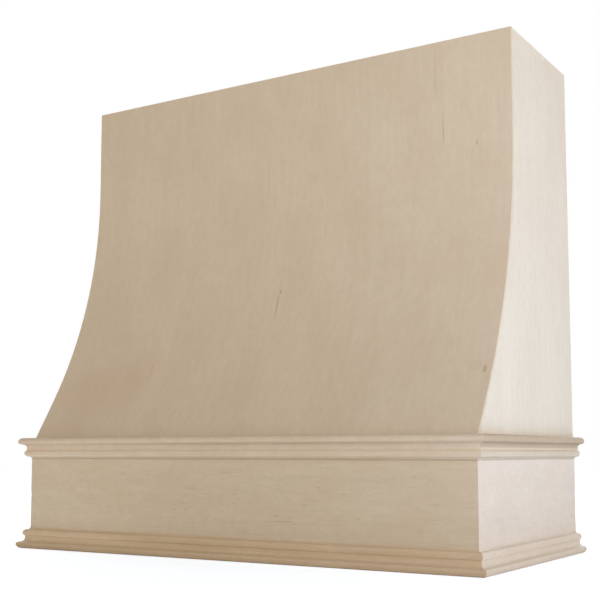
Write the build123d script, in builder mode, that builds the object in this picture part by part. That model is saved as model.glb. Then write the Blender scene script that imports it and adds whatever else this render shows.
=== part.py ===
from build123d import *
import math
import os

# Wall-hung wooden range hood cover: curved front, apron and two mouldings.
#
# Frame: millimetres, +Z up, the front looks along -Y and the wall is the +Y side.
# The origin is the centre of the underside of the whole cover's bounding box.

# ---- overall sizes ----------------------------------------------------------
body_width = 914.4          # across the outer faces of the side panels
body_height = 895.4         # underside to the top edge
top_depth = 281.0           # wall to the front face, where it is vertical
apron_depth = 457.2         # wall to the front face of the apron
seam_height = 197.5         # underside to the seam between apron and canopy
straight_height = 170.4     # upright part of the front, below the top edge
flare_straight = 96.0       # straight run of the front just above the seam

# ---- stock thicknesses ------------------------------------------------------
ply = 17.5                  # plywood of the side panels and the ribs
board = 19.05               # solid boards, rails and battens
face_ply = 3.0              # outer lamination of the curved front
core_ply = 6.0              # inner lamination of the curved front
insert_ply = 12.7           # panel that carries the extractor insert

# ---- moulding: one section, planted nose outwards ---------------------------
moulding_projection = 19.05  # apron face to the tip of the nose
moulding_lap = 11.3          # how far the upper moulding stands above the seam
nose_outer_radius = 7.6      # quarter round on the outer side of the nose
nose_inner_radius = 4.4      # round on the side next to the cove
nose_turn = 78.0             # degrees it turns through, from the tip to the slope
cove_radius = 6.6
neck_projection = 7.1        # apron face to the neck
neck_height = 4.25           # flat between cove and bead
bead_radius = 6.6
bead_rise = 3.3              # bead tip beyond the neck
fillet_height = 2.5          # thin flat beyond the bead
fillet_projection = 1.4

# ---- inner frame ------------------------------------------------------------
housing_depth = 6.35         # rabbet in the panels' back edges that takes the rails
hanging_rail_height = 89.0
canopy_rail_height = 89.0
apron_rail_height = 110.0
top_rail_height = 70.0
top_cleat_height = 45.0
rib_depth = 60.0
rib_offset = 150.0           # centre line to the middle of each rib
seam_cleat_height = 64.0     # half above and half below the seam
batten_height = 38.0
panel_recess = 40.0          # underside of the insert panel above the bottom edge
panel_gap = 0.4              # fitting gap round the insert panel
cutout_width = 720.0         # opening for the extractor insert
cutout_depth = 280.0
corner_block_leg = 38.0
corner_block_gap = 4.0       # block to the battens above and below it
spline_width = 12.0
spline_thickness = 3.2
spline_inset = 12.0          # from the inner corner, along the mitre
spline_end = 12.0            # stopped short of the board's edges

# ---- fastenings -------------------------------------------------------------
screw_length = 30.0
screw_radius = 2.0
screw_head_radius = 4.0
screw_tip = 4.0
screw_drive = 2.6            # square recess in the head
screw_gap = 0.1              # clearance round a screw
pocket_angle = 15.0
pocket_radius = 4.75
pocket_reach = 60.0          # bore, from the screw's seat outwards
pocket_screw_cover = 2.15    # wood left in a side panel beyond the screw's tip
pocket_head_cover = 0.9      # head's edge below the rail's face
pocket_head_radius = 4.2
pocket_head_height = 1.6
pin_radius = 0.6
pin_gap = 0.1
core_pin_length = 22.0
moulding_pin_cover = 2.2     # wood left in the board beyond the pin's point
pin_set = 1.0                # heads punched below the surface, the hole filled
core_pin_step = 115.0
core_pin_top = 40.0          # first pin below the top edge
core_pin_foot = 60.0         # last pin above the foot, measured up the slope
foot_pin_rise = 27.0         # row into the seam cleat, up the slope from the foot
foot_pin_margin = 44.0       # its end pins, from the side panels' inner faces
moulding_pin_margin = 27.5   # end pins of a front moulding, from the apron's corners
front_screw_margin = 110.0   # end screws of the seam cleat and the front batten
panel_screw_margin = 35.0    # end screws of the insert panel
wall_hole_radius = 3.5
stud_spacing = 406.4         # wall studs
wall_row_spacing = 44.0
insert_hole_radius = 1.8
insert_hole_margin = 15.0    # from the opening's edge

# ---- worked out -------------------------------------------------------------
apron_proud = board - ply    # the inner faces are flush, the outer ones are not
apron_half = body_width / 2 + apron_proud
body_half = body_width / 2
inner_half = body_half - ply
housed_half = inner_half + housing_depth
overall_depth = apron_depth + moulding_projection
wall_y = overall_depth / 2
skin = face_ply + core_ply

curve_top = body_height - straight_height
rise = curve_top - seam_height
run = apron_depth - top_depth
flare = 2 * math.atan(run / (rise + flare_straight))
curve_radius = (rise - flare_straight * math.cos(flare)) / math.sin(flare)

slope_rise = math.cos(math.radians(nose_turn))   # direction of the slope behind the nose
slope_fall = math.sin(math.radians(nose_turn))
slope_projection = moulding_projection - nose_inner_radius * (1 - slope_rise)
slope_start = nose_outer_radius + nose_inner_radius * slope_fall
cove_projection = neck_projection + cove_radius * (1 - slope_rise)
cove_start = slope_start + (slope_projection - cove_projection) * slope_rise / slope_fall
neck_low = cove_start + cove_radius * slope_fall
neck_high = neck_low + neck_height
bead_centre = neck_projection + bead_rise - bead_radius
bead_middle = neck_high + math.sqrt(bead_radius**2 - (neck_projection - bead_centre) ** 2)
bead_top = bead_middle + bead_radius
moulding_height = bead_top + fillet_height
moulding_top = seam_height + moulding_lap
neck_middle = (neck_low + neck_high) / 2

moulding_pin_length = neck_projection - pin_set + board - moulding_pin_cover
pocket_screw_bite = ply - housing_depth - pocket_screw_cover
pocket_tilt = math.radians(pocket_angle)
pocket_head_middle = board / 2 - pocket_head_cover - pocket_head_radius * math.cos(pocket_tilt)
pocket_seat = pocket_head_middle / math.sin(pocket_tilt) - pocket_head_height
pocket_screw_length = pocket_seat + pocket_screw_bite

inner_depth = apron_depth - board       # wall to the inner face of the apron's front
top_rail_back = top_depth - skin - board
panel_top = panel_recess + insert_ply
batten_top = panel_top + batten_height
cleat_low = seam_height - seam_cleat_height / 2
cleat_high = seam_height + seam_cleat_height / 2
side_batten_back = 2 * board
side_batten_front = inner_depth - board
cutout_middle = (board + inner_depth) / 2
hanging_rail_middle = body_height - hanging_rail_height / 2

DOWN_FROM_TOP = (Align.CENTER, Align.CENTER, Align.MAX)
UP_FROM_BASE = (Align.CENTER, Align.CENTER, Align.MIN)
LEFT, RIGHT = -1, 1
NAMES = {LEFT: "left", RIGHT: "right"}

os.makedirs("parts", exist_ok=True)


def keep(piece, name):
    """Label a finished piece and write it as its own file."""
    piece.part.label = name
    export_step(piece.part, f"parts/{name}.step")


def at(depth):
    """Y of a point that stands this far in front of the wall."""
    return wall_y - depth


def slab(x, depth, z):
    """A square-edged box between two X values, two depths and two heights."""
    low = (min(x), at(max(depth)), min(z))
    size = (abs(x[1] - x[0]), abs(depth[1] - depth[0]), abs(z[1] - z[0]))
    middle = tuple(corner + length / 2 for corner, length in zip(low, size))
    return Box(*size, mode=Mode.PRIVATE).moved(Location(middle))


def evenly(first, last, count):
    """Places from first to last, both included."""
    return [first + (last - first) * step / (count - 1) for step in range(count)]


def two_heights(low, high):
    """Two places between these heights, a quarter of the way in from each."""
    return [low + (high - low) / 4, high - (high - low) / 4]


# ---- fastening shapes and where they go -------------------------------------
def wood_screw(grow=0.0):
    """Countersunk screw, head at the origin, pointing down; grown for its hole."""
    head = screw_head_radius + grow
    shank = screw_radius + grow
    length = screw_length + grow
    neck = screw_head_radius - screw_radius
    with BuildPart() as screw:
        with BuildSketch(Plane.XZ):
            with BuildLine():
                Polyline(
                    (0, 0),
                    (head, 0),
                    (shank, -neck),
                    (shank, screw_tip - length),
                    (0, -length),
                    close=True,
                )
            make_face()
        revolve(axis=Axis.Z)
        if grow == 0.0:
            Box(screw_drive, screw_drive, neck, align=DOWN_FROM_TOP, mode=Mode.SUBTRACT)
    return screw.part


def pocket_screw(grow=0.0):
    """Pan-head screw seated at the origin, head upwards; grown for its hole."""
    with BuildPart() as screw:
        Cylinder(screw_radius + grow, pocket_screw_length + grow, align=DOWN_FROM_TOP)
        if grow == 0.0:
            Cylinder(pocket_head_radius, pocket_head_height, align=UP_FROM_BASE)
            with Locations((0, 0, pocket_head_height)):
                Box(screw_drive, screw_drive, pocket_head_height / 2, align=DOWN_FROM_TOP,
                    mode=Mode.SUBTRACT)
        else:
            Cylinder(pocket_radius, pocket_reach, align=UP_FROM_BASE)
    return screw.part


def pin(length, grow=0.0):
    """Headless brad, its top at the origin, pointing down; grown for its hole."""
    with BuildPart() as brad:
        Cylinder(pin_radius + grow, length + grow, align=DOWN_FROM_TOP)
    return brad.part


screw_hole = wood_screw(screw_gap)
pocket_hole = pocket_screw(screw_gap)
core_pin_hole = pin(core_pin_length, pin_gap)
moulding_pin_hole = pin(moulding_pin_length, pin_gap)


def group(shape, sites):
    """The same fastening at every site, as separate solids."""
    with BuildPart() as fastenings:
        with Locations(*sites):
            add(shape)
    return fastenings


def drill(shape, sites):
    """Cut a fastening's hole at every site out of the piece being built."""
    with Locations(*sites):
        add(shape, mode=Mode.SUBTRACT)


def towards_wall(x, depth, z):
    """A fastening driven straight back, its head facing the room."""
    return Plane(origin=(x, at(depth), z), z_dir=(0, -1, 0))


def towards_room(x, depth, z):
    """A fastening driven straight forwards, its head facing the wall."""
    return Plane(origin=(x, at(depth), z), z_dir=(0, 1, 0))


def outwards(side, x, depth, z):
    """A fastening driven out through a side, its head facing the middle."""
    return Plane(origin=(side * x, at(depth), z), z_dir=(-side, 0, 0))


def inwards(side, x, depth, z):
    """A fastening driven in through a side, its head facing away."""
    return Plane(origin=(side * x, at(depth), z), z_dir=(side, 0, 0))


def pocket_sites(end, front, back, heights):
    """Pocket screws at both ends of a rail whose ends stand at +-end."""
    face = 1 if back < front else -1
    sites = []
    for side in (LEFT, RIGHT):
        for z in heights:
            x = side * (end - pocket_seat * math.cos(pocket_tilt))
            depth = (front + back) / 2 + face * pocket_seat * math.sin(pocket_tilt)
            away = (-side * math.cos(pocket_tilt), -face * math.sin(pocket_tilt), 0)
            sites.append(Plane(origin=(x, at(depth), z), z_dir=away))
    return sites


seam_lower, seam_upper = two_heights(cleat_low, cleat_high)
seam_depths = evenly(3 * board, side_batten_front - board, 3)
front_xs = evenly(front_screw_margin - inner_half, inner_half - front_screw_margin, 4)
batten_middle = panel_top + batten_height / 2

seam_front_sites = [towards_room(x, side_batten_front, seam_lower) for x in front_xs]
seam_side_sites = {
    side: [
        outwards(side, inner_half - board, depth, z)
        for depth in seam_depths
        for z in (seam_lower, seam_upper)
    ]
    for side in (LEFT, RIGHT)
}
batten_front_sites = [towards_room(x, side_batten_front, batten_middle) for x in front_xs]
batten_back_sites = [towards_wall(x, side_batten_back, batten_middle) for x in front_xs]
batten_side_sites = {
    side: [outwards(side, inner_half - board, depth, batten_middle) for depth in seam_depths]
    for side in (LEFT, RIGHT)
}

panel_xs = evenly(panel_screw_margin - inner_half, inner_half - panel_screw_margin, 5)
panel_depths = [
    (seam_depths[0] + seam_depths[1]) / 2,
    (seam_depths[1] + seam_depths[2]) / 2,
]
panel_front_row = inner_depth - board / 2
panel_back_row = 1.5 * board
panel_side_row = inner_half - board / 2


def upwards(x, depth):
    """A screw driven up through the insert panel, its head facing down."""
    return Plane(origin=(x, at(depth), panel_recess), z_dir=(0, 0, -1))


panel_front_sites = [upwards(x, panel_front_row) for x in panel_xs]
panel_back_sites = [upwards(x, panel_back_row) for x in panel_xs]
panel_side_sites = {
    side: [upwards(side * panel_side_row, depth) for depth in panel_depths]
    for side in (LEFT, RIGHT)
}
panel_sites = panel_front_sites + panel_back_sites + panel_side_sites[LEFT] + panel_side_sites[RIGHT]

top_cleat_sites = {
    side: [
        outwards(side, inner_half - board, depth, body_height - top_cleat_height / 2)
        for depth in evenly(3 * board, top_rail_back - 2 * board, 2)
    ]
    for side in (LEFT, RIGHT)
}
rib_sites = {
    side: [
        towards_wall(side * rib_offset, top_depth - skin, z)
        for z in two_heights(body_height - top_rail_height, body_height)
    ]
    for side in (LEFT, RIGHT)
}


hanging_pockets = pocket_sites(
    housed_half, board, 0, two_heights(body_height - hanging_rail_height, body_height)
)
canopy_pockets = pocket_sites(
    housed_half, board, 0, two_heights(cleat_high, seam_height + canopy_rail_height)
)
apron_pockets = pocket_sites(
    housed_half, board, 0, two_heights(batten_middle, apron_rail_height)
)
top_pockets = pocket_sites(
    inner_half, top_rail_back, top_rail_back + board,
    two_heights(body_height - top_rail_height, body_height),
)


# ---- the curved front -------------------------------------------------------
def front_points(inset):
    """Ends of the line, arc and line that lie this far behind the front face."""
    reach = curve_radius + inset
    top = (at(top_depth - inset), body_height)
    bend_top = (at(top_depth - inset), curve_top)
    bend_foot = (
        at(top_depth + curve_radius - reach * math.cos(flare)),
        curve_top - reach * math.sin(flare),
    )
    foot = (at(apron_depth - inset / math.cos(flare)), seam_height)
    return top, bend_top, bend_foot, foot


def front_outline(inset):
    """That line, drawn from the top edge down to the seam."""
    top, bend_top, bend_foot, foot = front_points(inset)
    Line(top, bend_top)
    TangentArc(bend_top, bend_foot, tangent=(0, -1))
    Line(bend_foot, foot)


def front_layer(outer, inner, left, right):
    """A curved board between two insets from the front face."""
    with BuildPart() as layer:
        with BuildSketch(Plane.YZ.offset(left)):
            with BuildLine():
                front_outline(outer)
                front_outline(inner)
                Line(front_points(outer)[0], front_points(inner)[0])
                Line(front_points(outer)[3], front_points(inner)[3])
            make_face()
        extrude(amount=right - left)
    return layer.part


def front_site(inset, distance, x):
    """A pin driven square into the curve, this far down it from the top edge."""
    straight = body_height - curve_top
    reach = curve_radius + inset
    turned = min(max((distance - straight) / reach, 0), flare)
    beyond = max(distance - straight - reach * flare, 0)
    depth = top_depth + curve_radius - reach * math.cos(turned) + beyond * math.sin(flare)
    z = curve_top - reach * math.sin(turned) - beyond * math.cos(flare)
    if turned == 0:
        z = body_height - distance
    normal = (0, -math.cos(turned), math.sin(turned))
    return Plane(origin=(x, at(depth), z), x_dir=(1, 0, 0), z_dir=normal)


core_length = body_height - curve_top + (curve_radius + face_ply) * flare + flare_straight
core_pin_count = 1 + round((core_length - core_pin_top - core_pin_foot) / core_pin_step)
core_pin_runs = evenly(core_pin_top, core_length - core_pin_foot, core_pin_count)
core_pin_columns = {
    "left_side": -(body_half - ply / 2),
    "left_rib": -rib_offset,
    "right_rib": rib_offset,
    "right_side": body_half - ply / 2,
}
core_pin_sites = {
    name: [front_site(face_ply, distance, x) for distance in core_pin_runs]
    for name, x in core_pin_columns.items()
}
foot_pin_sites = [
    front_site(face_ply, core_length - foot_pin_rise, x)
    for x in evenly(foot_pin_margin - inner_half, inner_half - foot_pin_margin, 7)
]
all_core_pins = foot_pin_sites + [site for sites in core_pin_sites.values() for site in sites]


# ---- canopy -----------------------------------------------------------------
def side_panel(side):
    """Plywood side: straight back edge, front edge sawn to the curve."""
    name = NAMES[side]
    with BuildPart() as panel:
        with BuildSketch(Plane.YZ.offset(min(side * inner_half, side * body_half))):
            with BuildLine():
                front_outline(skin)
                Polyline(
                    front_points(skin)[0],
                    (at(0), body_height),
                    (at(0), seam_height),
                    front_points(skin)[3],
                )
            make_face()
        extrude(amount=ply)
        rabbet = slab(
            (side * inner_half, side * housed_half), (0, board), (seam_height, body_height)
        )
        add(rabbet, mode=Mode.SUBTRACT)
        drill(screw_hole, seam_side_sites[side] + top_cleat_sites[side])
        drill(pocket_hole, hanging_pockets + canopy_pockets + top_pockets)
        drill(core_pin_hole, core_pin_sites[f"{name}_side"])
    keep(panel, f"{name}_side_panel")


def rib(side):
    """Curved former behind the front, notched over the top rail and the cleat."""
    name = NAMES[side]
    left = side * rib_offset - ply / 2
    with BuildPart() as former:
        add(front_layer(skin, skin + rib_depth, left, left + ply))
        width = (left - 1, left + ply + 1)
        top_notch = slab(
            width, (top_rail_back, top_depth), (body_height - top_rail_height, body_height + 1)
        )
        foot_notch = slab(width, (side_batten_front, apron_depth), (seam_height - 1, cleat_high))
        add([top_notch, foot_notch], mode=Mode.SUBTRACT)
        drill(screw_hole, rib_sites[side])
        drill(core_pin_hole, core_pin_sites[f"{name}_rib"])
    keep(former, f"{name}_rib")


def front_panel():
    """Two laminations bent over the side panels, the ribs and the top rail."""
    with BuildPart() as core:
        add(front_layer(face_ply, skin, -body_half, body_half))
        drill(core_pin_hole, all_core_pins)
    keep(core, "front_panel_core")
    with BuildPart() as face:
        add(front_layer(0, face_ply, -body_half, body_half))
    keep(face, "front_panel_face")
    keep(group(pin(core_pin_length), all_core_pins), "front_panel_pins")


def wall_holes(z, studs):
    """Clearance holes for the screws into the wall studs at these X values."""
    with Locations(*[towards_wall(x, board, z) for x in studs]):
        Hole(wall_hole_radius, depth=board)


def hanging_rail():
    """Back rail at the top, which carries the cover on the wall."""
    with BuildPart() as rail:
        add(slab(
            (-housed_half, housed_half), (0, board),
            (body_height - hanging_rail_height, body_height),
        ))
        for row in (-wall_row_spacing / 2, wall_row_spacing / 2):
            wall_holes(hanging_rail_middle + row, (-stud_spacing, 0, stud_spacing))
        drill(pocket_hole, hanging_pockets)
    keep(rail, "hanging_rail")


def canopy_back_rail():
    """Back rail that stands on the seam."""
    with BuildPart() as rail:
        add(slab(
            (-housed_half, housed_half), (0, board),
            (seam_height, seam_height + canopy_rail_height),
        ))
        wall_holes(seam_height + canopy_rail_height / 2, (-stud_spacing, stud_spacing))
        drill(pocket_hole, canopy_pockets)
    keep(rail, "canopy_back_rail")


def top_front_rail():
    """Rail behind the top of the curved front."""
    with BuildPart() as rail:
        add(slab(
            (-inner_half, inner_half), (top_rail_back, top_rail_back + board),
            (body_height - top_rail_height, body_height),
        ))
        drill(pocket_hole, top_pockets)
        drill(screw_hole, rib_sites[LEFT] + rib_sites[RIGHT])
        drill(core_pin_hole, core_pin_sites["left_rib"] + core_pin_sites["right_rib"])
    keep(rail, "top_front_rail")


def top_cleat(side):
    """Batten along the top of a side panel, for the ceiling or an extension."""
    with BuildPart() as cleat:
        add(slab(
            (side * (inner_half - board), side * inner_half), (board, top_rail_back),
            (body_height - top_cleat_height, body_height),
        ))
        drill(screw_hole, top_cleat_sites[side])
    keep(cleat, f"{NAMES[side]}_top_cleat")


# ---- apron ------------------------------------------------------------------
def mitre(side):
    """Upright plane through a front corner; its positive side is the side wall."""
    return Plane(origin=(side * apron_half, at(apron_depth), 0), z_dir=(side, 1, 0))


def spline_key(side):
    """Loose tongue across the mitre, stopped short of the boards' edges."""
    diagonal = spline_inset / math.sqrt(2)
    plane = Plane(
        origin=(side * (inner_half + diagonal), at(inner_depth + diagonal), spline_end),
        x_dir=(side, 1, 0),
        z_dir=(0, 0, 1),
    )
    with BuildPart() as key:
        with BuildSketch(plane):
            Rectangle(spline_width, spline_thickness)
        extrude(amount=seam_height - 2 * spline_end)
    return key


moulding_neck_depth = apron_depth + neck_projection - pin_set
moulding_neck_x = apron_half + neck_projection - pin_set
moulding_pin_xs = evenly(moulding_pin_margin - apron_half, apron_half - moulding_pin_margin, 7)
moulding_pin_depths = evenly(2 * board, apron_depth - 2 * board, 4)


def moulding_pins(z):
    """Pins of one course of moulding: along the front, and up each side."""
    return {
        0: [towards_wall(x, moulding_neck_depth, z) for x in moulding_pin_xs],
        LEFT: [inwards(LEFT, moulding_neck_x, depth, z) for depth in moulding_pin_depths],
        RIGHT: [inwards(RIGHT, moulding_neck_x, depth, z) for depth in moulding_pin_depths],
    }


lower_pins = moulding_pins(neck_middle)
upper_pins = moulding_pins(moulding_top - neck_middle)


def apron_front():
    """Front board of the apron, mitred at both ends."""
    with BuildPart() as panel:
        add(slab((-apron_half, apron_half), (inner_depth, apron_depth), (0, seam_height)))
        for side in (LEFT, RIGHT):
            split(bisect_by=mitre(side), keep=Keep.BOTTOM)
            add(spline_key(side).part, mode=Mode.SUBTRACT)
        drill(screw_hole, seam_front_sites + batten_front_sites)
        drill(moulding_pin_hole, lower_pins[0] + upper_pins[0])
    keep(panel, "apron_front_board")


def apron_side(side):
    """Side board of the apron: mitred in front, rabbeted for the back rail."""
    with BuildPart() as panel:
        add(slab((side * inner_half, side * apron_half), (0, apron_depth), (0, seam_height)))
        split(bisect_by=mitre(side), keep=Keep.TOP)
        rabbet = slab((side * inner_half, side * housed_half), (0, board), (0, seam_height))
        add([rabbet, spline_key(side).part], mode=Mode.SUBTRACT)
        drill(screw_hole, seam_side_sites[side] + batten_side_sites[side])
        drill(pocket_hole, apron_pockets)
        drill(moulding_pin_hole, lower_pins[side] + upper_pins[side])
    keep(panel, f"apron_{NAMES[side]}_board")


def apron_back_rail():
    """Rail across the back of the apron."""
    with BuildPart() as rail:
        add(slab((-housed_half, housed_half), (0, board), (0, apron_rail_height)))
        drill(screw_hole, batten_back_sites)
        drill(pocket_hole, apron_pockets)
    keep(rail, "apron_back_rail")


def corner_block(side):
    """Three-cornered glue block inside a front corner of the apron."""
    x = side * inner_half
    low = batten_top + corner_block_gap
    with BuildPart() as block:
        with BuildSketch(Plane.XY.offset(low)):
            with BuildLine():
                Polyline(
                    (x, at(inner_depth)),
                    (x - side * corner_block_leg, at(inner_depth)),
                    (x, at(inner_depth - corner_block_leg)),
                    close=True,
                )
            make_face()
        extrude(amount=cleat_low - corner_block_gap - low)
    keep(block, f"{NAMES[side]}_corner_block")


# ---- cleats across the seam -------------------------------------------------
slope_foot = front_points(skin)[3]
slope = Plane(
    origin=(0, slope_foot[0], slope_foot[1]),
    z_dir=(0, -math.cos(flare), math.sin(flare)),
)


def front_seam_cleat():
    """Batten across the front seam, bevelled to lie against the curved front."""
    with BuildPart() as cleat:
        add(slab((-inner_half, inner_half), (side_batten_front, inner_depth), (cleat_low, cleat_high)))
        split(bisect_by=slope, keep=Keep.BOTTOM)
        drill(screw_hole, seam_front_sites)
        drill(core_pin_hole, foot_pin_sites)
    keep(cleat, "front_seam_cleat")


def side_seam_cleat(side):
    """Batten across a side seam, screwed to the panel above and the board below."""
    with BuildPart() as cleat:
        add(slab(
            (side * (inner_half - board), side * inner_half), (board, side_batten_front),
            (cleat_low, cleat_high),
        ))
        split(bisect_by=slope, keep=Keep.BOTTOM)
        drill(screw_hole, seam_side_sites[side])
    keep(cleat, f"{NAMES[side]}_seam_cleat")


# ---- insert panel and its battens -------------------------------------------
def front_or_back_batten(name, depth, batten_sites, screw_sites):
    """Batten along the front or the back of the apron."""
    with BuildPart() as batten:
        add(slab((-inner_half, inner_half), depth, (panel_top, batten_top)))
        drill(screw_hole, batten_sites + screw_sites)
    keep(batten, name)


def side_batten(side):
    """Batten along a side of the apron, between the other two."""
    with BuildPart() as batten:
        add(slab(
            (side * (inner_half - board), side * inner_half),
            (side_batten_back, side_batten_front),
            (panel_top, batten_top),
        ))
        drill(screw_hole, batten_side_sites[side] + panel_side_sites[side])
    keep(batten, f"insert_{NAMES[side]}_batten")


def insert_panel():
    """Bottom panel with the opening and the pilot holes for the insert."""
    with BuildPart() as panel:
        add(slab(
            (panel_gap - inner_half, inner_half - panel_gap),
            (board + panel_gap, inner_depth - panel_gap),
            (panel_recess, panel_top),
        ))
        with BuildSketch(Plane.XY.offset(panel_recess)):
            with Locations((0, at(cutout_middle))):
                Rectangle(cutout_width, cutout_depth)
        extrude(amount=insert_ply, mode=Mode.SUBTRACT)
        with Locations((0, at(cutout_middle), panel_top)):
            with GridLocations(
                cutout_width + 2 * insert_hole_margin, cutout_depth + 2 * insert_hole_margin, 2, 2
            ):
                Hole(insert_hole_radius, depth=insert_ply)
        drill(screw_hole, panel_sites)
    keep(panel, "insert_panel")


# ---- mouldings --------------------------------------------------------------
def moulding_outline():
    """Section: X stands out from the apron, Y runs from the nose to the fillet."""
    tip = moulding_projection
    Line((0, 0), (tip - nose_outer_radius, 0))
    TangentArc((tip - nose_outer_radius, 0), (tip, nose_outer_radius), tangent=(1, 0))
    TangentArc((tip, nose_outer_radius), (slope_projection, slope_start), tangent=(0, 1))
    Line((slope_projection, slope_start), (cove_projection, cove_start))
    TangentArc(
        (cove_projection, cove_start), (neck_projection, neck_low),
        tangent=(-slope_fall, slope_rise),
    )
    Line((neck_projection, neck_low), (neck_projection, neck_high))
    ThreePointArc(
        (neck_projection, neck_high),
        (bead_centre + bead_radius, bead_middle),
        (bead_centre, bead_top),
    )
    Polyline(
        (bead_centre, bead_top),
        (fillet_projection, bead_top),
        (fillet_projection, moulding_height),
        (0, moulding_height),
        (0, 0),
    )


def moulding(name, side, upper):
    """One length of moulding: side is 0 for the front, else LEFT or RIGHT."""
    course = "upper" if upper else "lower"
    outward = Vector(side, 0, 0) if side else Vector(0, -1, 0)
    from_nose = Vector(0, 0, -1 if upper else 1)
    origin = (
        side * apron_half,
        at(apron_depth / 2) if side else at(apron_depth),
        moulding_top if upper else 0,
    )
    section = Plane(origin=origin, x_dir=outward, z_dir=outward.cross(from_nose))
    reach = overall_depth if side else apron_half + moulding_projection
    pins = (upper_pins if upper else lower_pins)[side]
    with BuildPart() as length:
        with BuildSketch(section):
            with BuildLine():
                moulding_outline()
            make_face()
            if side and upper and apron_proud != 0:
                scribed = Mode.ADD if apron_proud > 0 else Mode.SUBTRACT
                with Locations((-apron_proud / 2, moulding_lap / 2)):
                    Rectangle(abs(apron_proud), moulding_lap, mode=scribed)
        extrude(amount=reach, both=True)
        if side:
            split(bisect_by=mitre(side), keep=Keep.TOP)
            split(bisect_by=Plane(origin=(0, wall_y, 0), z_dir=(0, 1, 0)), keep=Keep.BOTTOM)
        else:
            split(bisect_by=mitre(LEFT), keep=Keep.BOTTOM)
            split(bisect_by=mitre(RIGHT), keep=Keep.BOTTOM)
        drill(moulding_pin_hole, pins)
    keep(length, f"{course}_moulding_{name}")


def scribe_strip():
    """Wedge that fills the gap between the upper moulding and the sloping front."""
    with BuildPart() as strip:
        with BuildSketch(Plane.YZ.offset(-body_half)):
            with BuildLine():
                Polyline(
                    (at(apron_depth), seam_height),
                    (at(apron_depth), moulding_top),
                    (at(apron_depth - moulding_lap * math.tan(flare)), moulding_top),
                    close=True,
                )
            make_face()
        extrude(amount=body_width)
    keep(strip, "front_scribe_strip")


# ---- the whole cover --------------------------------------------------------
for each_side in (LEFT, RIGHT):
    side_panel(each_side)
    rib(each_side)
    top_cleat(each_side)
    apron_side(each_side)
    corner_block(each_side)
    side_seam_cleat(each_side)
    side_batten(each_side)
    keep(spline_key(each_side), f"{NAMES[each_side]}_corner_spline")

front_panel()
hanging_rail()
canopy_back_rail()
top_front_rail()
apron_front()
apron_back_rail()
front_seam_cleat()
front_or_back_batten(
    "insert_front_batten", (side_batten_front, inner_depth), batten_front_sites, panel_front_sites
)
front_or_back_batten(
    "insert_back_batten", (board, side_batten_back), batten_back_sites, panel_back_sites
)
insert_panel()
scribe_strip()

for piece_name, piece_side in (("front", 0), ("left", LEFT), ("right", RIGHT)):
    moulding(piece_name, piece_side, upper=True)
    moulding(piece_name, piece_side, upper=False)

seam_sites = seam_front_sites + seam_side_sites[LEFT] + seam_side_sites[RIGHT]
batten_sites = (
    batten_front_sites + batten_back_sites + batten_side_sites[LEFT] + batten_side_sites[RIGHT]
)
keep(group(wood_screw(), seam_sites), "seam_cleat_screws")
keep(group(wood_screw(), batten_sites), "batten_screws")
keep(group(wood_screw(), panel_sites), "insert_panel_screws")
keep(group(wood_screw(), top_cleat_sites[LEFT] + top_cleat_sites[RIGHT]), "top_cleat_screws")
keep(group(wood_screw(), rib_sites[LEFT] + rib_sites[RIGHT]), "rib_screws")
keep(
    group(pocket_screw(), hanging_pockets + canopy_pockets + apron_pockets + top_pockets),
    "pocket_screws",
)
for course_name, course_pins in (("upper", upper_pins), ("lower", lower_pins)):
    every_pin = [site for sites in course_pins.values() for site in sites]
    keep(group(pin(moulding_pin_length), every_pin), f"{course_name}_moulding_pins")
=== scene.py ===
import itertools
import math
from collections import namedtuple

import bmesh
import bpy
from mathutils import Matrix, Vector


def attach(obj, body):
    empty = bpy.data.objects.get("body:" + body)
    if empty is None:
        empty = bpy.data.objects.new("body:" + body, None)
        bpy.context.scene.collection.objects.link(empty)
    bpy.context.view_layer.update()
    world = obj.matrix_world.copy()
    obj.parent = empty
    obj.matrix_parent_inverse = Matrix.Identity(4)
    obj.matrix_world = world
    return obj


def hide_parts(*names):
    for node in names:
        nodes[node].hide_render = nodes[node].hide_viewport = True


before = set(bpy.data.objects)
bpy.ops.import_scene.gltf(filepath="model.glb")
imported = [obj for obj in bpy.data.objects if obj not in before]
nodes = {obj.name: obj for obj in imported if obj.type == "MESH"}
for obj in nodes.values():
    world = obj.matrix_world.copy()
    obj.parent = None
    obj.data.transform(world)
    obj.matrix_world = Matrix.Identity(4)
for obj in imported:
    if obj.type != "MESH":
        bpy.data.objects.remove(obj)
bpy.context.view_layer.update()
scene = bpy.context.scene
scene.view_settings.view_transform = "Standard"

# ---- sizes of the cover, in metres ------------------------------------------------------
WALL = 0.238125               # y of the wall behind the cover
BODY_HEIGHT = 0.8954
BODY_HALF = 0.4572            # half the width over the side panels
APRON_HALF = 0.45875          # half the width over the apron's boards
APRON_DEPTH = 0.4572
APRON_FRONT = WALL - APRON_DEPTH
SEAM = 0.1975                 # height of the joint between the apron and the canopy
MOULDING_RISE = 0.0113        # how far the upper moulding stands above the seam
MOULDING_TOP = SEAM + MOULDING_RISE
MOULDING_HEIGHT = 0.0381

# ---- camera: the photograph's viewing angle, for a picture of 600 x 600 pixels -----------
PICTURE = 600
SENSOR = 36.0
FOCAL_PIXELS = 1077.9
AXIS_ROW = 350.0              # the pixel row that the lens axis meets
CAMERA_PLACE = (1.0824, -1.7193, 0.1809)
CAMERA_YAW = math.radians(31.879)
CAMERA_PITCH = math.radians(5.438)

camera_data = bpy.data.cameras.new("camera")
camera_data.sensor_width = SENSOR
camera_data.lens = FOCAL_PIXELS * SENSOR / PICTURE
camera_data.shift_y = (AXIS_ROW - PICTURE / 2) / PICTURE
camera = bpy.data.objects.new("camera", camera_data)
camera.location = CAMERA_PLACE
camera.rotation_euler = (math.pi / 2 + CAMERA_PITCH, 0, CAMERA_YAW)
scene.collection.objects.link(camera)
scene.camera = camera


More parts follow.
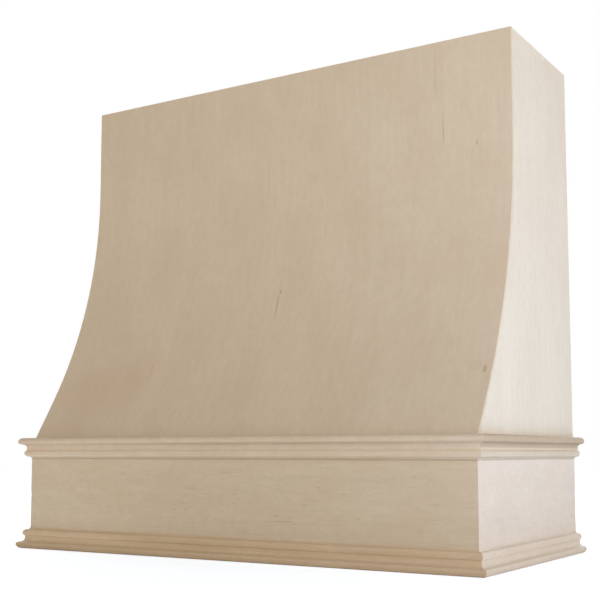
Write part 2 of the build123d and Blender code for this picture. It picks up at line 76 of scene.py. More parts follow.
# ---- node shorthand ----------------------------------------------------------------------
def srgb(red, green, blue):
    """A colour given as 0 to 255 display values, as linear RGBA."""
    def linear(value):
        value /= 255
        return value / 12.92 if value <= 0.04045 else ((value + 0.055) / 1.055) ** 2.4
    return (linear(red), linear(green), linear(blue), 1.0)


def times(colour, factors):
    """A linear RGBA colour times three factors."""
    return tuple(part * factor for part, factor in zip(colour, factors)) + (1.0,)


class Tree:
    """A node tree, with a short method for each kind of node used here."""

    def __init__(self, owner):
        owner.use_nodes = True
        self.tree = owner.node_tree
        self.tree.nodes.clear()

    def node(self, kind, **settings):
        made = self.tree.nodes.new(kind)
        for key, value in settings.items():
            setattr(made, key, value)
        return made

    def put(self, socket, value):
        """Link a socket, or set it where the value is a constant."""
        if isinstance(value, bpy.types.NodeSocket):
            self.tree.links.new(value, socket)
        else:
            socket.default_value = value

    def math(self, operation, a, b=0.0):
        made = self.node("ShaderNodeMath", operation=operation)
        self.put(made.inputs[0], a)
        self.put(made.inputs[1], b)
        return made.outputs[0]

    def add(self, a, b):
        return self.math("ADD", a, b)

    def multiply(self, a, b):
        return self.math("MULTIPLY", a, b)

    def total(self, *terms):
        """The sum of value and weight pairs, each value taken about its middle, 0.5."""
        result = 0.5
        for value, weight in terms:
            part = self.multiply(self.math("SUBTRACT", value, 0.5), weight)
            result = self.add(part, result)
        return result

    def vector(self, operation, a, b):
        made = self.node("ShaderNodeVectorMath", operation=operation)
        self.put(made.inputs[0], a)
        self.put(made.inputs[1], b)
        return made.outputs["Vector"]

    def length(self, vector):
        made = self.node("ShaderNodeVectorMath", operation="LENGTH")
        self.put(made.inputs[0], vector)
        return made.outputs["Value"]

    def scaled(self, colour, factor):
        """A colour times a number."""
        made = self.node("ShaderNodeVectorMath", operation="SCALE")
        self.put(made.inputs[0], colour)
        self.put(made.inputs["Scale"], factor)
        return made.outputs["Vector"]

    def split(self, vector):
        made = self.node("ShaderNodeSeparateXYZ")
        self.put(made.inputs[0], vector)
        return dict(zip("xyz", made.outputs))

    def noise(self, vector, detail, rough=0.5):
        made = self.node("ShaderNodeTexNoise")
        self.put(made.inputs["Vector"], vector)
        made.inputs["Scale"].default_value = 1.0
        made.inputs["Detail"].default_value = detail
        made.inputs["Roughness"].default_value = rough
        return made.outputs["Fac"]

    def ramp(self, value, low, high, out_low=0.0, out_high=1.0):
        """A smooth step: out_low below low, and out_high above high."""
        made = self.node("ShaderNodeMapRange", interpolation_type="SMOOTHSTEP")
        self.put(made.inputs["Value"], value)
        limits = {"From Min": low, "From Max": high, "To Min": out_low, "To Max": out_high}
        for key, number in limits.items():
            made.inputs[key].default_value = number
        return made.outputs["Result"]

    def mix(self, share, a, b):
        """Colour a where share is 0, and b where it is 1."""
        made = self.node("ShaderNodeMix", data_type="RGBA")
        for key, value in (("Factor_Float", share), ("A_Color", a), ("B_Color", b)):
            socket = next(s for s in made.inputs if s.identifier == key)
            self.put(socket, value)
        return next(s for s in made.outputs if s.identifier == "Result_Color")

    def background(self, colour, strength):
        made = self.node("ShaderNodeBackground")
        made.inputs["Color"].default_value = colour + (1,)
        self.put(made.inputs["Strength"], strength)
        return made.outputs[0]

    def surface(self, shader):
        """Make a shader the surface of the material."""
        self.put(self.node("ShaderNodeOutputMaterial").inputs["Surface"], shader.outputs[0])


# ---- wood --------------------------------------------------------------------------------
LIGHT_SIDE = (1.055, 1.06, 1.07)      # palest wood, against the mean tone
DARK_SIDE = (0.925, 0.905, 0.875)     # darkest wood, against the mean tone
BLUSH = (0.985, 0.93, 0.915)          # pinkish clouds, against the mean tone
FLECK = (0.66, 0.60, 0.52)            # knots and dark dashes, against the mean tone
SEED_SHIFT = (1.37, 2.11, 0.73)       # metres between the figures of two seeds

# noise in cells of a length along the grain and a width across it, and how much it darkens
Grain = namedtuple("Grain", "length width detail rough weight", defaults=(0.5, 0.0))
FIGURE = Grain(0.80, 0.06, detail=2.0, weight=0.5)
STREAK = Grain(0.17, 0.0080, detail=2.5, rough=0.6, weight=0.5)
LINE = Grain(0.040, 0.0024, detail=2.0, rough=0.6, weight=0.5)
DASH = Grain(0.009, 0.0022, detail=1.5, rough=0.6, weight=0.6)
FIBRE = Grain(0.010, 0.0006, detail=2.0, rough=0.6, weight=0.7)
CLOUD = Grain(0.16, 0.09, detail=2.0, weight=0.8)
MOTTLE = Grain(0.022, 0.012, detail=2.5, rough=0.6, weight=1.0)
FLECK_DASH = Grain(0.024, 0.0016, detail=1.0)
FLECK_GROUP = Grain(0.10, 0.03, detail=1.0)
RING_SWAY = Grain(0.45, 0.10, detail=1.0)

RING_WIDTH = 0.009
RING_BEND = 0.06                      # how far a slow sway bends the rings
RING_WEIGHT = 0.10
PORE_CELLS = (1100, 1100, 1100)       # pores of end grain, for each metre
PLY_LAYER = 0.00135                   # thickness of one layer of plywood

# noise values between which a feature comes in
CLOUD_STEP = (0.50, 0.72)
DASH_STEP = (0.62, 0.80)
GROUP_STEP = (0.42, 0.60)
PORE_STEP = (0.3, 0.7)
FIBRE_STEP = (0.2, 0.8)
LAYER_STEP = (-0.5, 0.5)

END_FACING = (0.80, 0.95)             # how squarely an end looks along the grain
EDGE_FACING = (0.35, 0.60)            # a ply edge looks less than this through the sheet
END_SHADES = (0.86, 1.06)             # end grain, from pore to wood
EDGE_SHADES = (0.92, 1.05)            # ply edge, from pore to wood
LAYER_SHADES = (0.86, 1.02)           # ply edge, from one layer to the next
BAND_EDGE = 0.0004                    # softness of a band's two edges
SPOT_CORE = 0.1                       # the part of a spot that has its full depth
PATCH_RAGGED = 2.5                    # how ragged the edge of a pinkish patch is

WOOD_ROUGHNESS = (0.56, 0.72)
WOOD_SPECULAR = 0.3
BUMP_STRENGTH = 0.3
BUMP_DEPTH = 0.0001
LINE_BUMP = 0.8                       # height of the lines, against the fibres


class Board:
    """The wood of one piece in the making: its noises and its colour so far."""

    def __init__(self, name, along, tone, seed, sheet):
        self.material = bpy.data.materials.new(name)
        self.tree = Tree(self.material)
        self.along = along
        self.sheet = sheet
        self.mean = srgb(*tone)
        coordinates = self.tree.node("ShaderNodeTexCoord").outputs
        self.facing = self.tree.split(coordinates["Normal"])
        self.axes = self.tree.split(coordinates["Object"])
        shift = tuple(seed * step for step in SEED_SHIFT)
        self.shifted = self.tree.vector("ADD", coordinates["Object"], shift)
        self.line = self.noise(LINE)
        self.fibre = self.noise(FIBRE)
        self.cloud = self.noise(CLOUD)
        self.mottle = self.noise(MOTTLE)
        self.colour = self.mean

    def noise(self, grain):
        """Noise in cells along the grain, which doesn't change through a sheet."""
        cells = dict.fromkeys("xyz", 1 / grain.width)
        cells[self.along] = 1 / grain.length
        if self.sheet:
            cells[self.sheet] = 0.0
        place = self.tree.vector("MULTIPLY", self.shifted, tuple(cells.values()))
        return self.tree.noise(place, grain.detail, grain.rough)

    def pores(self):
        """Fine pores, alike in all directions."""
        return self.tree.noise(self.tree.vector("MULTIPLY", self.shifted, PORE_CELLS), detail=2.0)

    def growth_rings(self):
        """Rings about a far pith, bent by a slow sway, from 0 to 1."""
        tree = self.tree
        across = tuple(0.0 if axis == self.along else 1.0 for axis in "xyz")
        distance = tree.length(tree.vector("MULTIPLY", self.shifted, across))
        radius = tree.add(distance, tree.multiply(self.noise(RING_SWAY), RING_BEND))
        wave = tree.math("SINE", tree.multiply(radius, 2 * math.pi / RING_WIDTH))
        return tree.add(tree.multiply(wave, 0.5), 0.5)

    def lay_figure(self, streaks, rings, blush):
        """The colour from palest to darkest wood, with faint pinkish clouds."""
        tree = self.tree
        terms = [
            (self.noise(FIGURE), FIGURE.weight),
            (self.noise(STREAK), STREAK.weight * streaks),
            (self.line, LINE.weight * streaks),
            (self.fibre, FIBRE.weight),
            (self.noise(DASH), DASH.weight * streaks),
            (self.cloud, CLOUD.weight),
            (self.mottle, MOTTLE.weight),
        ]
        if rings:
            terms.append((self.growth_rings(), RING_WEIGHT * rings))
        shade = tree.math("MAXIMUM", tree.math("MINIMUM", tree.total(*terms), 1.0), 0.0)
        plain = tree.mix(shade, times(self.mean, LIGHT_SIDE), times(self.mean, DARK_SIDE))
        pink = tree.ramp(self.cloud, *CLOUD_STEP, 0.0, blush)
        self.colour = tree.mix(pink, plain, times(self.mean, BLUSH))

    def tint(self, share, tint):
        """Multiply the colour by a tint, as far as share says."""
        tinted = self.tree.vector("MULTIPLY", self.colour, tint)
        self.colour = self.tree.mix(share, self.colour, tinted)

    def tint_band(self, low, high, tint):
        """Tint a band between two heights."""
        tree = self.tree
        above = tree.ramp(self.axes["z"], low - BAND_EDGE, low + BAND_EDGE)
        below = tree.ramp(self.axes["z"], high - BAND_EDGE, high + BAND_EDGE, 1.0, 0.0)
        self.tint(tree.multiply(above, below), tint)

    def add_flecks(self, amount):
        """Short dark dashes, in loose groups."""
        tree = self.tree
        dashes = tree.ramp(self.noise(FLECK_DASH), *DASH_STEP)
        groups = tree.ramp(self.noise(FLECK_GROUP), *GROUP_STEP)
        share = tree.multiply(tree.multiply(dashes, groups), amount)
        self.colour = tree.mix(share, self.colour, times(self.mean, FLECK))

    def add_spot(self, middle, half, depth, tint, ragged=0.0):
        """Tint an oval, seen from the front, with a middle and half sizes in x and z."""
        tree = self.tree
        u = tree.math("DIVIDE", tree.math("SUBTRACT", self.axes["x"], middle[0]), half[0])
        v = tree.math("DIVIDE", tree.math("SUBTRACT", self.axes["z"], middle[1]), half[1])
        reach = tree.add(tree.multiply(u, u), tree.multiply(v, v))
        self.tint(tree.ramp(tree.add(reach, ragged), SPOT_CORE, 1.0, depth, 0.0), tint)

    def add_patch(self, middle, half, depth):
        """A pinkish patch with a ragged edge."""
        ragged = self.tree.multiply(self.tree.math("SUBTRACT", self.mottle, 0.5), PATCH_RAGGED)
        self.add_spot(middle, half, depth, BLUSH, ragged)

    def add_end_grain(self, tone):
        """Darker, porous wood on the faces across the grain."""
        tree = self.tree
        end = tree.scaled(srgb(*tone)[:3], tree.ramp(self.pores(), *PORE_STEP, *END_SHADES))
        squarely = tree.math("ABSOLUTE", self.facing[self.along])
        self.colour = tree.mix(tree.ramp(squarely, *END_FACING), self.colour, end)

    def add_ply_edge(self, tone):
        """Thin layers on the edges of a sheet, every other one cut across."""
        tree = self.tree
        wave = tree.math("SINE", tree.multiply(self.axes[self.sheet], math.pi / PLY_LAYER))
        layers = tree.ramp(wave, *LAYER_STEP, *LAYER_SHADES)
        porous = tree.ramp(self.pores(), *PORE_STEP, *EDGE_SHADES)
        edge = tree.scaled(srgb(*tone)[:3], tree.multiply(layers, porous))
        squarely = tree.math("ABSOLUTE", self.facing[self.sheet])
        self.colour = tree.mix(tree.ramp(squarely, *EDGE_FACING, 1.0, 0.0), self.colour, edge)

    def finish(self):
        """A matt surface with fine raised fibres."""
        tree = self.tree
        shader = tree.node("ShaderNodeBsdfPrincipled")
        tree.put(shader.inputs["Base Color"], self.colour)
        tree.put(shader.inputs["Roughness"], tree.ramp(self.fibre, *FIBRE_STEP, *WOOD_ROUGHNESS))
        shader.inputs["Specular IOR Level"].default_value = WOOD_SPECULAR
        bump = tree.node("ShaderNodeBump")
        bump.inputs["Strength"].default_value = BUMP_STRENGTH
        bump.inputs["Distance"].default_value = BUMP_DEPTH
        tree.put(bump.inputs["Height"], tree.add(self.fibre, tree.multiply(self.line, LINE_BUMP)))
        tree.put(shader.inputs["Normal"], bump.outputs[0])
        tree.surface(shader)
        return self.material


def wood(name, along, tone, seed, sheet=None, streaks=1.0, flecks=0.0, rings=0.0, blush=0.3,
         ends=None, marks=(), patches=(), bands=()):
    """Raw sanded wood, with its grain along one axis.

    tone is the mean colour, and seed shifts the figure. sheet is the axis through the
    thickness of a sheet. streaks, flecks, rings and blush weigh what shows. ends is the
    colour of end grain or of a ply edge. marks are knots and dashes, patches are pinkish
    clouds, and bands are tints between two heights, used here for painted shade, painted
    highlights and a dark joint line.
    """
    board = Board(name, along, tone, seed, sheet)
    board.lay_figure(streaks, rings, blush)
    for low, high, tint in bands:
        board.tint_band(low, high, tint)
    if flecks:
        board.add_flecks(flecks)
    for middle, half, depth in patches:
        board.add_patch(middle, half, depth)
    for middle, half, depth in marks:
        board.add_spot(middle, half, depth, FLECK)
    if ends and sheet:
        board.add_ply_edge(ends)
    elif ends:
        board.add_end_grain(ends)
    return board.finish()


# ---- metal -------------------------------------------------------------------------------
METAL_CELLS = (900, 900, 900)         # cells of the mottle, for each metre
METAL_STEP = (0.3, 0.7)
METAL_SHADES = (0.88, 1.08)
METAL_SMOOTHER = 0.06                 # how far the roughness falls and rises in the mottle
METAL_ROUGHER = 0.08


def zinc(name, tone, rough):
    """Zinc plated steel, faintly mottled."""
    material = bpy.data.materials.new(name)
    tree = Tree(material)
    place = tree.node("ShaderNodeTexCoord").outputs["Object"]
    mottle = tree.noise(tree.vector("MULTIPLY", place, METAL_CELLS), detail=2.0)
    shade = tree.ramp(mottle, *METAL_STEP, *METAL_SHADES)
    roughness = tree.ramp(mottle, *METAL_STEP, rough - METAL_SMOOTHER, rough + METAL_ROUGHER)
    shader = tree.node("ShaderNodeBsdfPrincipled")
    tree.put(shader.inputs["Base Color"], tree.scaled(srgb(*tone)[:3], shade))
    tree.put(shader.inputs["Roughness"], roughness)
    shader.inputs["Metallic"].default_value = 1.0
    tree.surface(shader)
    return material


# ---- shape of the mouldings --------------------------------------------------------------
TONGUE = APRON_HALF - BODY_HALF       # fills the step between the apron and a side panel
NOSE_OUT = 0.01905
NOSE_OUTER = 0.0076                   # radius from the nose's end to its tip
NOSE_INNER = 0.0044                   # radius from its tip to the slope behind it
NOSE_TURN = 78                        # degrees from its tip to that slope
COVE = 0.0066
NECK_OUT = 0.0071
NECK = 0.00425
BEAD = 0.0066
BEAD_RISE = 0.0033                    # how far the bead stands out from the neck
FILLET = 0.0025
FILLET_OUT = 0.0014
FILLET_EASE = 0.0004


def arc(centre_out, centre_high, radius, start, end, steps):
    """Points on an arc, from one angle to another, in degrees."""
    points = []
    for step in range(steps + 1):
        angle = math.radians(start + (end - start) * step / steps)
        out = centre_out + radius * math.cos(angle)
        high = centre_high + radius * math.sin(angle)
        points.append((out, high))
    return points


def moulding_section(stepped):
    """The nose, slope, cove, neck, bead and fillet, as distances out from the apron and
    along it from the nose's end.

    A stepped section reaches back to the side panel above the seam.
    """
    turn = math.radians(NOSE_TURN)
    nose_middle = NOSE_OUT - NOSE_INNER
    slope_out = nose_middle + NOSE_INNER * math.cos(turn)
    slope_high = NOSE_OUTER + NOSE_INNER * math.sin(turn)
    slope = (slope_out - NECK_OUT - COVE * (1 - math.cos(turn))) / math.sin(turn)
    cove_high = slope_high + slope * math.cos(turn) + COVE * math.sin(turn)
    neck_high = cove_high + NECK
    bead_out = NECK_OUT + BEAD_RISE - BEAD
    bead_middle = neck_high + math.sqrt(BEAD**2 - (NECK_OUT - bead_out) ** 2)
    bead_start = math.degrees(math.atan2(neck_high - bead_middle, NECK_OUT - bead_out))
    bead_top = bead_middle + BEAD
    section_top = bead_top + FILLET

    points = arc(NOSE_OUT - NOSE_OUTER, NOSE_OUTER, NOSE_OUTER, -90, 0, steps=12)
    points += arc(nose_middle, NOSE_OUTER, NOSE_INNER, 0, NOSE_TURN, steps=6)[1:]
    points += arc(NECK_OUT + COVE, cove_high, COVE, 180 + NOSE_TURN, 180, steps=8)
    points += arc(bead_out, bead_middle, BEAD, bead_start, 90, steps=14)
    points += [(FILLET_OUT, bead_top)]
    points += arc(FILLET_OUT - FILLET_EASE, section_top - FILLET_EASE, FILLET_EASE, 0, 90, steps=3)
    points += [(0.0, section_top)]
    if stepped:
        points += [(0.0, MOULDING_RISE), (-TONGUE, MOULDING_RISE), (-TONGUE, 0.0)]
    else:
        points += [(0.0, 0.0)]
    return points


def moulding(side, upper):
    """One length, mitred at the front corners: side is 0 at the front, -1 left or 1 right.

    The upper course has its nose up, and the lower one has it down.
    """
    points = moulding_section(stepped=upper and side != 0)
    first_end = []
    second_end = []
    for out, high in points:
        z = MOULDING_TOP - high if upper else high
        if side:
            first_end.append((side * (APRON_HALF + out), WALL, z))
            second_end.append((side * (APRON_HALF + out), APRON_FRONT - out, z))
        else:
            first_end.append((-APRON_HALF - out, APRON_FRONT - out, z))
            second_end.append((APRON_HALF + out, APRON_FRONT - out, z))
    count = len(points)
    faces = [tuple(range(count)), tuple(range(2 * count - 1, count - 1, -1))]
    for index in range(count):
        after = (index + 1) % count
        faces.append((index, index + count, after + count, after))
    mesh = bpy.data.meshes.new("moulding")
    mesh.from_pydata(first_end + second_end, [], faces)
    work = bmesh.new()
    work.from_mesh(mesh)
    bmesh.ops.recalc_face_normals(work, faces=work.faces)
    work.to_mesh(mesh)
    work.free()
    return mesh


# ---- sanded edges ------------------------------------------------------------------------
SAME_POINT = 1e-6
FLAT_UP_TO = math.radians(0.2)
SHARP_FROM = math.radians(30)
SHEET_EASE = 0.0006                   # width of the round on a plywood edge
BOARD_EASE = 0.0007                   # and on the corner of two mitred boards
NEAR = 0.0002                         # this near to a face counts as on it


def eased(node, width, chosen):
    """A copy of a node's mesh with some of its sharp edges sanded to a small round.

    chosen is asked with both ends of each sharp edge.
    """
    work = bmesh.new()
    work.from_mesh(nodes[node].data)
    bmesh.ops.remove_doubles(work, verts=work.verts, dist=SAME_POINT)
    bmesh.ops.dissolve_limit(work, angle_limit=FLAT_UP_TO, verts=work.verts, edges=work.edges)
    edges = [
        edge for edge in work.edges
        if len(edge.link_faces) == 2 and edge.calc_face_angle() >= SHARP_FROM
        and all(chosen(end.co) for end in edge.verts)
    ]
    bmesh.ops.bevel(
        work, geom=edges, offset=width, segments=2, profile=0.5, affect="EDGES", clamp_overlap=True
    )
    mesh = bpy.data.meshes.new(node)
    work.to_mesh(mesh)
    work.free()
    return mesh


def outer_rim(point):
    """On the top edge or an outer side of the curved front."""
    return abs(point.x) > BODY_HALF - NEAR or point.z > BODY_HEIGHT - NEAR


def outer_corner(point):
    """On a side panel's outer face, along its top or back edge."""
    edge = point.z > BODY_HEIGHT - NEAR or point.y > WALL - NEAR
    return abs(point.x) > BODY_HALF - NEAR and edge


def apron_corner(point):
    """On the outer side of the apron."""
    return abs(point.x) > APRON_HALF - NEAR


# ---- pieces ------------------------------------------------------------------------------
SMOOTH_UP_TO = math.radians(28)
FACE_WEIGHT = 80                      # how far large faces rule the shading of the rounds


def add_piece(name, mesh, material, node):
    """Show a mesh in place of a node of the frame."""
    mesh.materials.clear()
    mesh.materials.append(material)
    mesh.polygons.foreach_set("use_smooth", [True] * len(mesh.polygons))
    mesh.set_sharp_from_angle(angle=SMOOTH_UP_TO)
    piece = bpy.data.objects.new(name, mesh)
    scene.collection.objects.link(piece)
    weighted = piece.modifiers.new("face normals", "WEIGHTED_NORMAL")
    weighted.keep_sharp = True
    weighted.weight = FACE_WEIGHT
    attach(piece, "root")
    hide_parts(node)


def give(name, material):
    """Finish a node of the frame whose shape stays as it is."""
    slots = nodes[name].data.materials
    if not slots:
        slots.append(material)
    for index in range(len(slots)):
        slots[index] = material


# mean tones, as display values
FRONT_TONE = (213, 198, 180)
FRONT_EDGE = (216, 205, 188)
SIDE_TONE = (217, 207, 194)
APRON_TONE = (209, 195, 176)
APRON_SIDE_TONE = (217, 205, 194)
UPPER_TONE = (217, 202, 185)
UPPER_SIDE_TONE = (203, 188, 170)
LOWER_TONE = (209, 188, 163)
LOWER_SIDE_TONE = (217, 206, 193)
MAPLE_END = (196, 176, 148)
POPLAR = (209, 195, 169)
POPLAR_END = (186, 168, 138)
PLY_FACE = (210, 192, 164)
PLY_EDGE = (196, 172, 138)
SCREW_TONE = (198, 200, 204)
PIN_TONE = (150, 151, 154)

# marks and patches, as middle and half sizes in x and z, and depth
FRONT_MARKS = (
    ((0.0195, 0.4470), (0.0018, 0.0300), 0.75),     # fine crack below a pin knot
    ((0.0220, 0.4735), (0.0028, 0.0050), 0.80),
    ((0.4446, 0.3109), (0.0042, 0.0085), 0.70),     # small knot near the right edge
    ((0.4270, 0.3180), (0.0180, 0.0120), 0.12),     # faint cloud beside it
    ((0.3933, 0.7045), (0.0032, 0.0055), 0.55),     # small knot higher up
    ((0.3315, 0.7420), (0.0015, 0.0450), 0.45),     # thin streaks
    ((0.3172, 0.8350), (0.0016, 0.0600), 0.35),
    ((-0.0300, 0.6950), (0.0013, 0.0750), 0.25),
    ((-0.0130, 0.6600), (0.0013, 0.0600), 0.25),
    ((-0.2330, 0.3350), (0.0016, 0.0220), 0.35),
)
FRONT_PATCHES = (
    ((-0.3450, 0.2950), (0.1300, 0.0600), 0.85),
    ((-0.2500, 0.3350), (0.0500, 0.0500), 0.70),
    ((-0.3900, 0.2250), (0.0700, 0.0220), 0.60),
    ((0.0300, 0.2180), (0.0400, 0.0160), 0.50),
)
APRON_MARKS = (
    ((-0.1094, 0.0829), (0.0030, 0.0028), 0.50),    # two pin knots
    ((-0.0850, 0.0835), (0.0030, 0.0026), 0.45),
    ((0.1180, 0.0683), (0.0260, 0.0014), 0.45),     # dashes along the grain
    ((0.1036, 0.0769), (0.0080, 0.0016), 0.40),
    ((0.1635, 0.1410), (0.0230, 0.0013), 0.35),
    ((-0.0755, 0.1194), (0.0150, 0.0013), 0.35),
    ((0.0216, 0.1184), (0.0100, 0.0013), 0.35),
    ((-0.0026, 0.1470), (0.0190, 0.0013), 0.30),
    ((0.3896, 0.1019), (0.0100, 0.0016), 0.35),
)

# bands, as lowest and highest point and tint: a dark line under the upper moulding, partly a
# dark joint and partly painted shadow; painted shade under the nose on its right length; and
# painted highlights along the beads and the lower moulding's bottom edge
MOULDING_FOOT = MOULDING_TOP - MOULDING_HEIGHT
# a dark line under the upper moulding: partly a dark joint, partly painted shadow under its fillet
JOINT_AND_SHADOW_WIDTH = 0.0016
JOINT_AND_SHADOW_BAND = (MOULDING_FOOT - JOINT_AND_SHADOW_WIDTH, MOULDING_FOOT, (0.74, 0.70, 0.66))
# painted shade under the nose, on the right upper length only
NOSE_SHADE_BAND = (MOULDING_TOP - 0.0203, MOULDING_TOP + 0.0010, (0.80, 0.75, 0.67))
# painted highlight on the underside of the upper moulding's bead
BEAD_HIGHLIGHT_BAND = (MOULDING_TOP - 0.0362, MOULDING_TOP - 0.0318, (1.13, 1.14, 1.17))
# painted highlights on the lower moulding: a line along its bead, and its bottom edge
PAINTED_HIGHLIGHT = (1.12, 1.13, 1.15)
LOWER_HIGHLIGHT_BANDS = ((0.0236, 0.0276, PAINTED_HIGHLIGHT), (-0.0010, 0.0042, PAINTED_HIGHLIGHT))

front_veneer = wood(
    "front_veneer", "z", FRONT_TONE, 1, sheet="y", marks=FRONT_MARKS, patches=FRONT_PATCHES
)
front_mesh = eased("front_panel_face", SHEET_EASE, outer_rim)
add_piece("front_sheet", front_mesh, front_veneer, "front_panel_face")
give("front_panel_core", wood("front_core_edge", "z", FRONT_EDGE, 2, sheet="y"))

for turn, side in ((-1, "left"), (1, "right")):
    veneer = wood(f"{side}_veneer", "z", SIDE_TONE, 4 + turn, sheet="x", ends=PLY_EDGE)
    panel_mesh = eased(f"{side}_side_panel", SHEET_EASE, outer_corner)
    add_piece(f"{side}_panel", panel_mesh, veneer, f"{side}_side_panel")
    maple = wood(
        f"apron_{side}_maple", "y", APRON_SIDE_TONE, 7 + turn, flecks=0.3, rings=0.6,
        ends=MAPLE_END, bands=(JOINT_AND_SHADOW_BAND,),
    )
    board_mesh = eased(f"apron_{side}_board", BOARD_EASE, apron_corner)
    add_piece(f"{side}_apron", board_mesh, maple, f"apron_{side}_board")

front_maple = wood(
    "apron_front_maple", "x", APRON_TONE, 9, streaks=1.4, flecks=0.6, rings=0.6, ends=MAPLE_END,
    marks=APRON_MARKS, bands=(JOINT_AND_SHADOW_BAND,),
)
front_board_mesh = eased("apron_front_board", BOARD_EASE, apron_corner)
add_piece("front_apron", front_board_mesh, front_maple, "apron_front_board")

# each length of moulding: side, tone, seed and bands
UPPER_LENGTHS = {
    "front": (0, UPPER_TONE, 15, (BEAD_HIGHLIGHT_BAND,)),
    "left": (-1, UPPER_SIDE_TONE, 14, (BEAD_HIGHLIGHT_BAND,)),
    "right": (1, UPPER_SIDE_TONE, 16, (BEAD_HIGHLIGHT_BAND, NOSE_SHADE_BAND)),
}
LOWER_LENGTHS = {
    "front": (0, LOWER_TONE, 11, LOWER_HIGHLIGHT_BANDS),
    "left": (-1, LOWER_SIDE_TONE, 10, LOWER_HIGHLIGHT_BANDS),
    "right": (1, LOWER_SIDE_TONE, 12, LOWER_HIGHLIGHT_BANDS),
}
for course, lengths in (("upper", UPPER_LENGTHS), ("lower", LOWER_LENGTHS)):
    for name, (side, tone, seed, bands) in lengths.items():
        maple = wood(
            f"{course}_{name}_maple", "y" if side else "x", tone, seed, streaks=1.6,
            flecks=0.25, rings=0.6, ends=MAPLE_END, bands=bands,
        )
        mesh = moulding(side, upper=course == "upper")
        add_piece(f"{course}_{name}_length", mesh, maple, f"{course}_moulding_{name}")
give("front_scribe_strip", wood("scribe_maple", "x", UPPER_TONE, 45))

# the nodes inside, by the axis that their grain follows
POPLAR_RUNS = {
    "x": (
        "hanging_rail", "canopy_back_rail", "apron_back_rail", "top_front_rail",
        "front_seam_cleat", "insert_front_batten", "insert_back_batten",
    ),
    "y": (
        "left_top_cleat", "right_top_cleat", "left_seam_cleat", "right_seam_cleat",
        "insert_left_batten", "insert_right_batten",
    ),
    "z": ("left_corner_block", "right_corner_block"),
}
seeds = itertools.count(20)
for along, names in POPLAR_RUNS.items():
    for name in names:
        poplar = wood(
            f"{name}_poplar", along, POPLAR, next(seeds), rings=1.0, blush=0.2, ends=POPLAR_END
        )
        give(name, poplar)
for name, sheet in (("left_rib", "x"), ("right_rib", "x"), ("insert_panel", "z")):
    give(name, wood(f"{name}_ply", "y", PLY_FACE, next(seeds), sheet=sheet, ends=PLY_EDGE))
for side in ("left", "right"):
    give(f"{side}_corner_spline", wood(f"{side}_spline", "z", PLY_FACE, next(seeds)))

screw_steel = zinc("zinc_screw", SCREW_TONE, rough=0.34)
for place in ("seam_cleat", "batten", "insert_panel", "top_cleat", "rib", "pocket"):
    give(f"{place}_screws", screw_steel)
pin_steel = zinc("pin_steel", PIN_TONE, rough=0.40)
for place in ("front_panel", "upper_moulding", "lower_moulding"):
    give(f"{place}_pins", pin_steel)


# ---- room: white world, pale floor, soft light -------------------------------------------
SKY = (1.160, 1.020, 0.770)           # light from the horizon, which fades to the zenith
WHITE = (1.0, 1.0, 1.0)
FLOOR_SIZE = 14.0
FLOOR_TONE = (0.8, 0.8, 0.8)
FLOOR_LIFT = (0.57, 0.62, 0.68)       # makes the open floor white to the camera
LIFT_FADE = (0.55, 1.1)               # the lift grows between these distances from the cover
LIFT_FAR = 1.24                       # and is this strong from there on
LIFT_FOOT_SHADE = 0.55                    # its strength inside the cover's foot, lower there as painted shade on the floor
FOOT_HALVES = (0.44, 0.21)            # half width and half depth inside the foot
FOOT_EDGE = (0.9, 1.0)                # the share of them over which the lift changes
LAMP_LOW = 0.012                      # height of the lamps that shine up


def make_world():
    """White to the camera and in reflections, and a soft warm light on everything else."""
    world = bpy.data.worlds.new("studio")
    scene.world = world
    tree = Tree(world)
    rays = tree.node("ShaderNodeLightPath").outputs
    mirrored = tree.math("MAXIMUM", rays["Is Glossy Ray"], rays["Is Transmission Ray"])
    height = tree.split(tree.node("ShaderNodeTexCoord").outputs["Generated"])["z"]
    fade = tree.math("SUBTRACT", 1.0, tree.math("MAXIMUM", height, 0.0))
    either = tree.node("ShaderNodeMixShader")
    tree.put(either.inputs[0], tree.math("MAXIMUM", rays["Is Camera Ray"], mirrored))
    tree.put(either.inputs[1], tree.background(SKY, fade))
    tree.put(either.inputs[2], tree.background(WHITE, 1.0))
    tree.put(tree.node("ShaderNodeOutputWorld").inputs["Surface"], either.outputs[0])


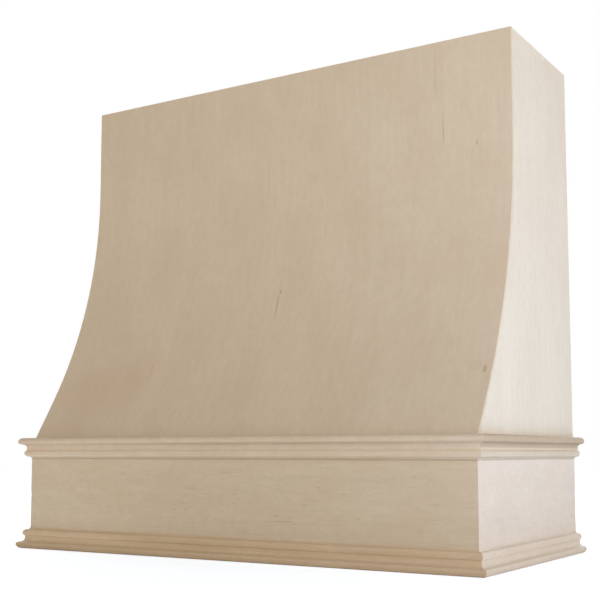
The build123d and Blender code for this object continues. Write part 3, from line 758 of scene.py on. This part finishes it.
def floor_finish():
    """A matt floor that keeps shadows and is lifted to white for the camera, less so inside the
    cover's foot as painted shade.
    """
    material = bpy.data.materials.new("pale_floor")
    tree = Tree(material)
    matt = tree.node("ShaderNodeBsdfDiffuse")
    matt.inputs["Color"].default_value = FLOOR_TONE + (1,)
    place = tree.node("ShaderNodeTexCoord").outputs["Object"]
    growth = tree.ramp(tree.length(place), *LIFT_FADE, 1.0, LIFT_FAR)
    foot = tree.split(
        tree.vector("MULTIPLY", place, (1 / FOOT_HALVES[0], 1 / FOOT_HALVES[1], 0.0))
    )
    share = tree.math(
        "MAXIMUM", tree.math("ABSOLUTE", foot["x"]), tree.math("ABSOLUTE", foot["y"])
    )
    # painted shade: the lift is weaker inside the cover's foot
    inside = tree.ramp(share, *FOOT_EDGE, LIFT_FOOT_SHADE, 1.0)
    camera_ray = tree.node("ShaderNodeLightPath").outputs["Is Camera Ray"]
    lift = tree.node("ShaderNodeEmission")
    lift.inputs["Color"].default_value = FLOOR_LIFT + (1,)
    tree.put(lift.inputs["Strength"], tree.multiply(camera_ray, tree.multiply(growth, inside)))
    both = tree.node("ShaderNodeAddShader")
    tree.put(both.inputs[0], matt.outputs[0])
    tree.put(both.inputs[1], lift.outputs[0])
    tree.surface(both)
    return material


def make_floor():
    """The floor that the cover stands on."""
    half = FLOOR_SIZE / 2
    corners = [(-half, -half, 0), (half, -half, 0), (half, half, 0), (-half, half, 0)]
    mesh = bpy.data.meshes.new("floor")
    mesh.from_pydata(corners, [], [(0, 1, 2, 3)])
    mesh.materials.append(floor_finish())
    floor = bpy.data.objects.new("floor", mesh)
    scene.collection.objects.link(floor)


def softbox(name, place, target, size, power, colour):
    """A large area lamp that faces a point and isn't seen itself."""
    data = bpy.data.lights.new(name, "AREA")
    data.shape = "RECTANGLE"
    data.size, data.size_y = size
    data.energy = power
    data.color = colour
    lamp = bpy.data.objects.new(name, data)
    lamp.location = place
    towards = Vector(target) - Vector(place)
    lamp.rotation_euler = towards.to_track_quat("-Z", "Y").to_euler()
    lamp.visible_camera = False
    scene.collection.objects.link(lamp)


def upward(name, x, y, size, power, colour):
    """A lamp just above the floor that shines straight up, as light off the floor does."""
    softbox(name, (x, y, LAMP_LOW), (x, y, 1.0), size, power, colour)


make_world()
make_floor()
# place, target, size, power and colour
softbox("key", (2.1, -1.0, 0.65), (0.4, -0.1, 0.5), (1.0, 1.2), 22.6, (0.79, 0.85, 1.0))
softbox("back", (-0.5, 3.2, 1.3), (0.0, 0.2, 0.45), (2.4, 1.6), 58.0, (0.72, 0.82, 1.0))
softbox("left", (-3.2, 0.9, 0.9), (-0.45, 0.0, 0.4), (1.6, 1.4), 50.0, (0.74, 0.83, 1.0))
# x, y, size, power and colour
upward("under_front", 0.0, -1.3, (3.2, 2.0), 4.4, (1.0, 1.0, 0.98))
upward("under_left", -1.1, -1.0, (1.8, 1.6), 2.0, (0.91, 1.0, 0.99))
upward("under_right", 1.5, -0.2, (1.8, 2.0), 10.2, (0.47, 0.71, 1.0))
